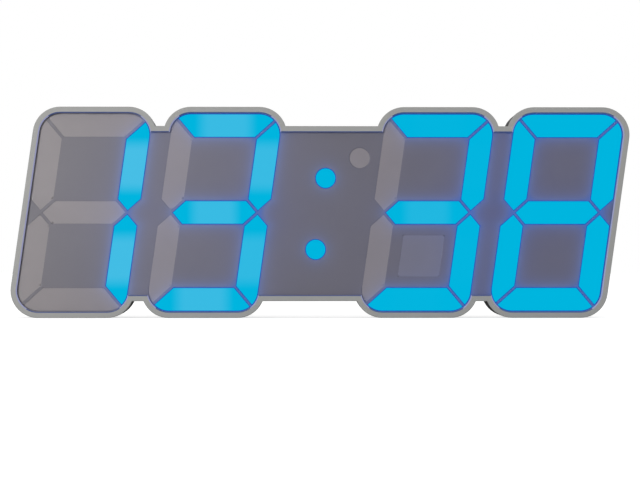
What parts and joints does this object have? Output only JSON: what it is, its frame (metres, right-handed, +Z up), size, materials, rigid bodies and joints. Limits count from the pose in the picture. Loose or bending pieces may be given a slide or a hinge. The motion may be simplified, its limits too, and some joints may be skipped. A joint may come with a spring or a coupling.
{
  "type": "digital led desk clock",
  "caption": "Slanted digital LED desk clock with large ice-blue seven-segment digits in a lobed grey bezel, a slim black back and fold-out stand feet.",
  "frame": {"origin": "middle of the footprint with the stand feet folded out, on the surface the clock stands on", "axes": "+X to the right as the clock is read, +Z up, and the display faces -Y"},
  "size_m": [0.3004, 0.065, 0.1024],
  "materials": {
    "bezel": "satin silver grey moulding",
    "lens": "smoked, fine matt face",
    "baffle": "matt grey moulding",
    "lit_diffuser": "milky diffuser, lit ice blue",
    "dark_diffuser": "milky diffuser, unlit",
    "window": "tinted, smooth",
    "board": "solder mask",
    "lamp": "clear moulding over a white cup",
    "chip": "moulded epoxy",
    "metal_can": "drawn can",
    "capacitor": "bare can",
    "resistor": "fired ceramic",
    "bead": "dipped resin",
    "buzzer": "moulded case",
    "steel": "bright steel",
    "nickel": "nickel plated",
    "moulding": "black moulding",
    "cover": "fine textured black moulding",
    "button": "smooth dark grey moulding",
    "foot": "fine textured black moulding",
    "rubber": "soft matt rubber"
  },
  "bodies": {
    "case": {"alarm_dot": "dark_diffuser", "base_pads": "rubber", "board_screws": "steel", "buzzer": "buzzer", "case_screws": "steel", "cell_clip": "nickel", "cell_holder": "moulding", "chip_resistors": "resistor", "clock_crystal": "metal_can", "coin_cell": "steel", "colon_dots": "lit_diffuser", "digit_1_dark_bars": "dark_diffuser", "digit_1_lit_bars": "lit_diffuser", "digit_2_dark_bars": "dark_diffuser", "digit_2_lit_bars": "lit_diffuser", "digit_3_dark_bars": "dark_diffuser", "digit_3_lit_bars": "lit_diffuser", "digit_4_lit_bars": "lit_diffuser", "foot_hinge_pin_left": "steel", "foot_hinge_pin_right": "steel", "front_bezel": "bezel", "front_panel": "lens", "ir_receiver": "chip", "led_drivers": "chip", "light_baffle": "baffle", "light_sensor": "lamp", "main_board": "board", "microcontroller": "chip", "power_capacitors": "capacitor", "rear_cover": "cover", "segment_lamps": "lamp", "sensor_window": "window", "switch_bodies": "moulding", "temperature_sensor": "bead", "usb_contact_tongue": "moulding", "usb_socket": "nickel"},
    "set_button_body": {"set_button": "button", "set_plunger": "moulding"},
    "up_button_body": {"up_button": "button", "up_plunger": "moulding"},
    "down_button_body": {"down_button": "button", "down_plunger": "moulding"},
    "alarm_button_body": {"alarm_button": "button", "alarm_plunger": "moulding"},
    "battery_door_body": {"battery_door": "cover", "battery_door_screw": "steel"},
    "left_foot_body": {"stand_foot_left": "foot", "foot_tip_pad_left": "rubber"},
    "right_foot_body": {"stand_foot_right": "foot", "foot_tip_pad_right": "rubber"}
  },
  "joints": [
    {"name": "set_press", "type": "slide", "parent": "case", "child": "set_button_body", "axis": [0, -1, 0], "range_m": [0, 0.00025], "stiffness_N_per_m": 5000},
    {"name": "up_press", "type": "slide", "parent": "case", "child": "up_button_body", "axis": [0, -1, 0], "range_m": [0, 0.00025], "stiffness_N_per_m": 5000},
    {"name": "down_press", "type": "slide", "parent": "case", "child": "down_button_body", "axis": [0, -1, 0], "range_m": [0, 0.00025], "stiffness_N_per_m": 5000},
    {"name": "alarm_press", "type": "slide", "parent": "case", "child": "alarm_button_body", "axis": [0, -1, 0], "range_m": [0, 0.00025], "stiffness_N_per_m": 5000},
    {"name": "battery_door_lift", "type": "slide", "parent": "case", "child": "battery_door_body", "axis": [0, 1, 0], "range_m": [0, 0.03]},
    {"name": "left_foot_fold", "type": "hinge", "parent": "case", "child": "left_foot_body", "pos_m": [-0.12074, -0.0115, 0.01], "axis": [1, 0, 0], "range_deg": [0, 100.95]},
    {"name": "right_foot_fold", "type": "hinge", "parent": "case", "child": "right_foot_body", "pos_m": [0.10916, -0.0115, 0.01], "axis": [1, 0, 0], "range_deg": [0, 100.95]}
  ]
}
